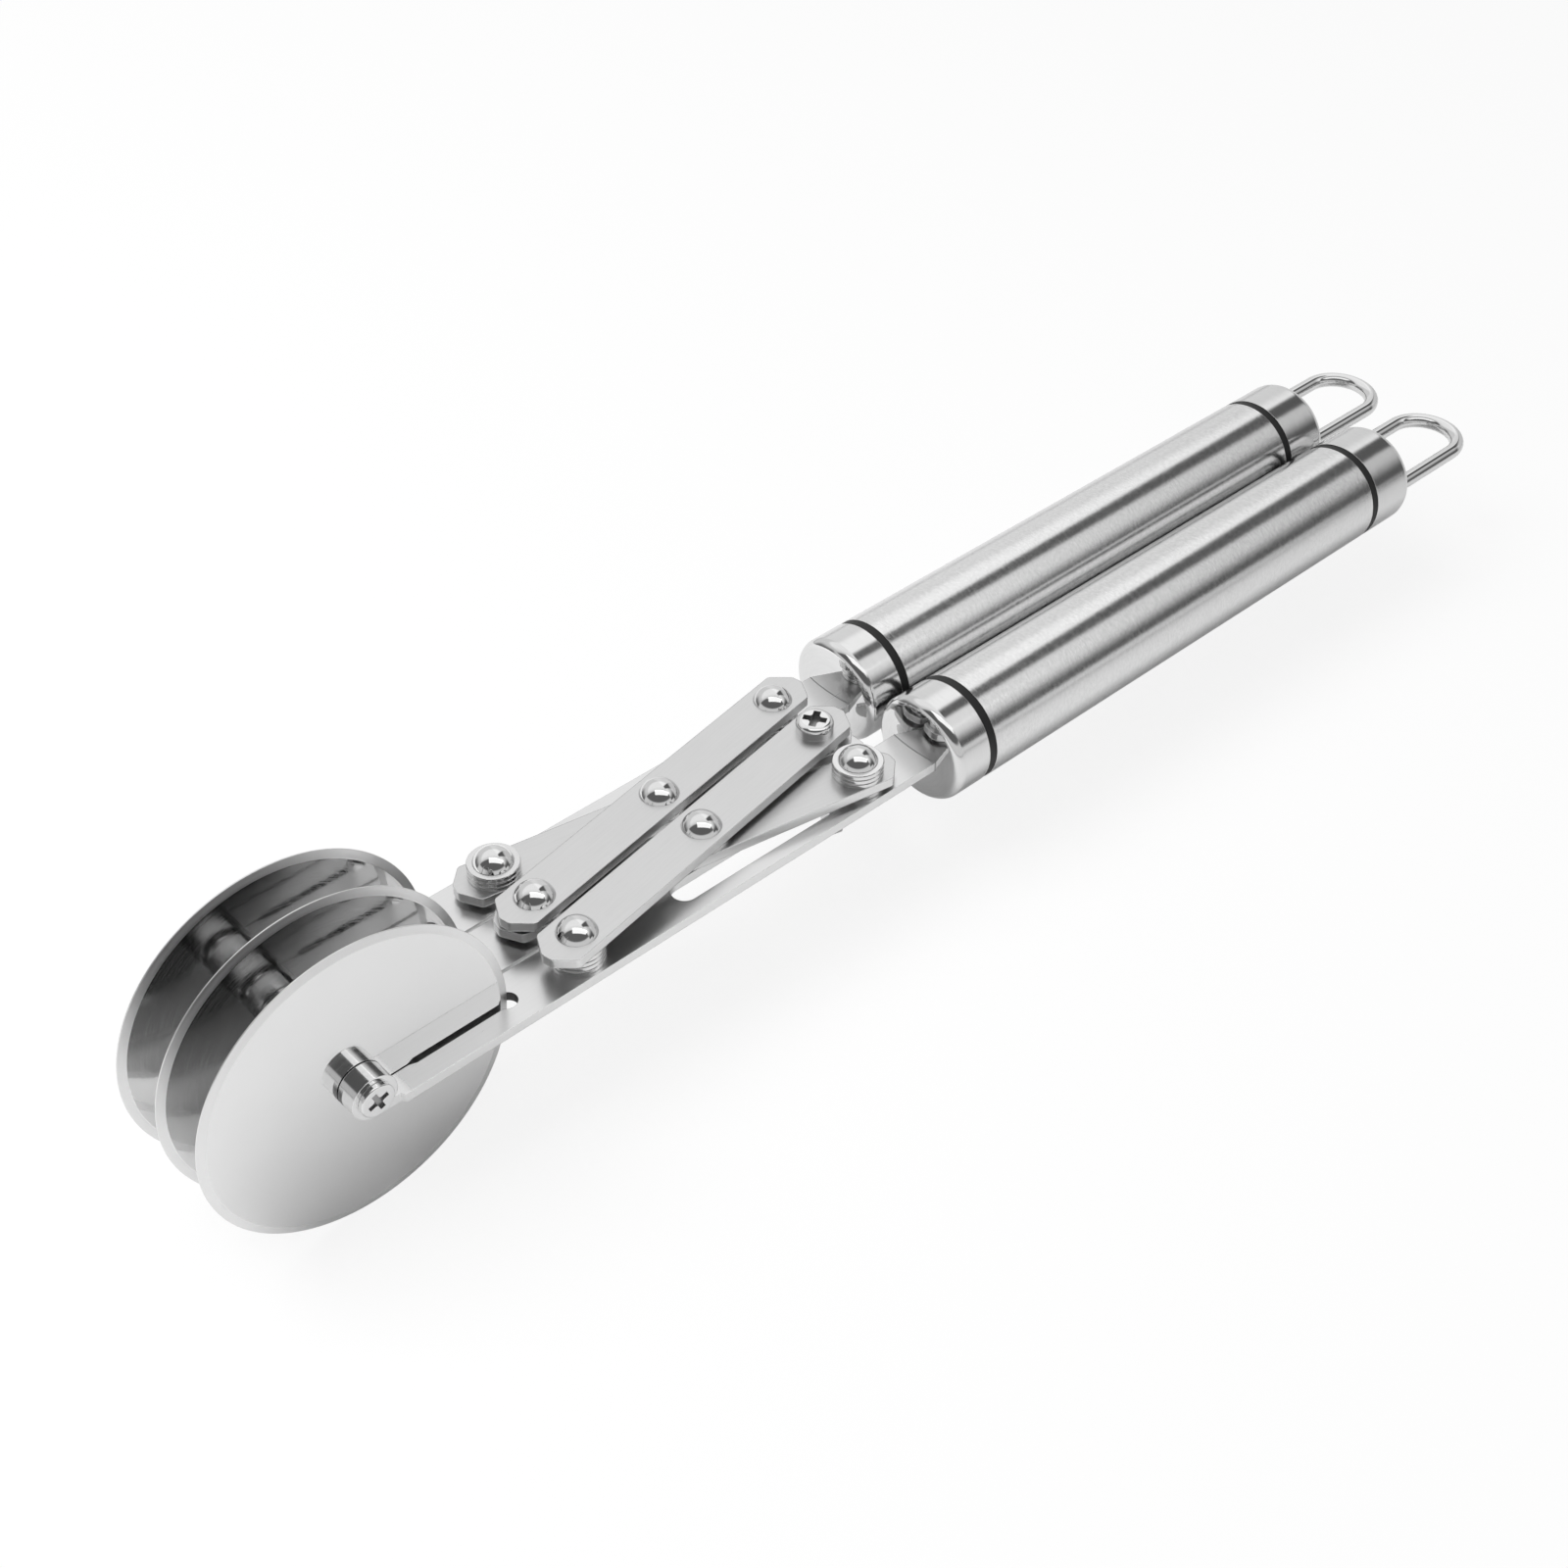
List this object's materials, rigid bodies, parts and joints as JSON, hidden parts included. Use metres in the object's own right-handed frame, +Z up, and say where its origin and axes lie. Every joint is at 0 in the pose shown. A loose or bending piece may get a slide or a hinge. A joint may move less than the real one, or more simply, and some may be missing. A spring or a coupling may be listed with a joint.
{
  "type": "expandable dough cutter",
  "caption": "Expandable wheeled dough cutter: cutting discs on side-by-side arms that crossed links spread evenly as its tube handles are drawn apart.",
  "frame": {"origin": "where the middle wheel's edge meets the worktop, straight below its axle, with the arms level", "axes": "+X from the wheels to the handles, +Y from the near arm to the far arm, +Z up from the arms to the links"},
  "size_m": [0.3303, 0.046, 0.06],
  "materials": {
    "wheel_steel": "stainless sheet, polished, with ground edges",
    "arm_steel": "stainless strip, fine brushed along its length",
    "link_steel": "stainless strip, fine brushed along its length",
    "fastener_steel": "bright stainless",
    "washer_steel": "bright stainless",
    "tube_steel": "stainless tube, brushed round its girth",
    "cap_steel": "stainless, satin sides and polished crowns",
    "ring_black": "matt black",
    "wire_steel": "bright stainless wire"
  },
  "bodies": {
    "middle_arm_body": {"middle_arm": "arm_steel", "middle_axle_post": "fastener_steel", "middle_axle_screw": "fastener_steel", "middle_pivot_rivet": "fastener_steel", "middle_pivot_washers": "washer_steel"},
    "middle_wheel_body": {"middle_wheel": "wheel_steel"},
    "far_arm_body": {"far_arm": "arm_steel", "far_axle_post": "fastener_steel", "far_axle_screw": "fastener_steel", "far_pivot_rivet": "fastener_steel", "far_pivot_washers": "washer_steel", "far_front_cap": "cap_steel", "far_front_ring": "ring_black", "far_handle_tube": "tube_steel", "far_rear_ring": "ring_black", "far_rear_cap": "cap_steel", "far_hanging_loop": "wire_steel"},
    "far_wheel_body": {"far_wheel": "wheel_steel"},
    "near_arm_body": {"near_arm": "arm_steel", "near_axle_post": "fastener_steel", "near_axle_screw": "fastener_steel", "near_pivot_rivet": "fastener_steel", "near_pivot_washers": "washer_steel", "near_front_cap": "cap_steel", "near_front_ring": "ring_black", "near_handle_tube": "tube_steel", "near_rear_ring": "ring_black", "near_rear_cap": "cap_steel", "near_hanging_loop": "wire_steel"},
    "near_wheel_body": {"near_wheel": "wheel_steel"},
    "upper_far_body": {"upper_link_far": "link_steel", "far_cross_rivet": "fastener_steel", "far_cross_washer": "washer_steel", "far_slide_rivet": "fastener_steel", "far_slide_washers": "washer_steel"},
    "lower_far_body": {"lower_link_far": "link_steel"},
    "lower_near_body": {"lower_link_near": "link_steel", "near_cross_rivet": "fastener_steel", "near_cross_washer": "washer_steel", "near_slide_rivet": "fastener_steel", "near_slide_washers": "washer_steel"},
    "upper_near_body": {"upper_link_near": "link_steel", "clamp_screw": "fastener_steel", "clamp_washers": "washer_steel", "wing_nut": "fastener_steel"}
  },
  "joints": [
    {"name": "spread", "type": "hinge", "parent": "middle_arm_body", "child": "upper_far_body", "pos_m": [0.0456, 0, 0.0266], "axis": [0, 0, 1], "range_deg": [0, 58.9]},
    {"name": "far_cross", "type": "hinge", "parent": "upper_far_body", "child": "lower_far_body", "pos_m": [0.07908, 0.00595, 0.0266], "axis": [0, 0, 1], "range_deg": [-117.9, 0]},
    {"name": "far_pivot", "type": "hinge", "parent": "lower_far_body", "child": "far_arm_body", "pos_m": [0.0456, 0.0119, 0.0266], "axis": [0, 0, 1], "range_deg": [0, 59]},
    {"name": "near_lower_pivot", "type": "hinge", "parent": "middle_arm_body", "child": "lower_near_body", "pos_m": [0.0456, 0, 0.0266], "axis": [0, 0, 1], "range_deg": [-59, 0]},
    {"name": "near_cross", "type": "hinge", "parent": "lower_near_body", "child": "upper_near_body", "pos_m": [0.07908, -0.00595, 0.0266], "axis": [0, 0, 1], "range_deg": [0, 117.9]},
    {"name": "near_pivot", "type": "hinge", "parent": "upper_near_body", "child": "near_arm_body", "pos_m": [0.0456, -0.0119, 0.0266], "axis": [0, 0, 1], "range_deg": [-59, 0]},
    {"name": "near_wheel_spin", "type": "hinge", "parent": "near_arm_body", "child": "near_wheel_body", "pos_m": [0, -0.0119, 0.03], "axis": [0, 1, 0], "continuous": true},
    {"name": "middle_wheel_spin", "type": "hinge", "parent": "middle_arm_body", "child": "middle_wheel_body", "pos_m": [0, 0, 0.03], "axis": [0, 1, 0], "continuous": true},
    {"name": "far_wheel_spin", "type": "hinge", "parent": "far_arm_body", "child": "far_wheel_body", "pos_m": [0, 0.0119, 0.03], "axis": [0, 1, 0], "continuous": true}
  ],
  "couplings": [
    {"joint": "far_cross", "follows": "spread", "ratio": -2},
    {"joint": "far_pivot", "follows": "spread", "ratio": 1},
    {"joint": "near_lower_pivot", "follows": "spread", "ratio": -1},
    {"joint": "near_cross", "follows": "spread", "ratio": 2},
    {"joint": "near_pivot", "follows": "spread", "ratio": -1}
  ]
}
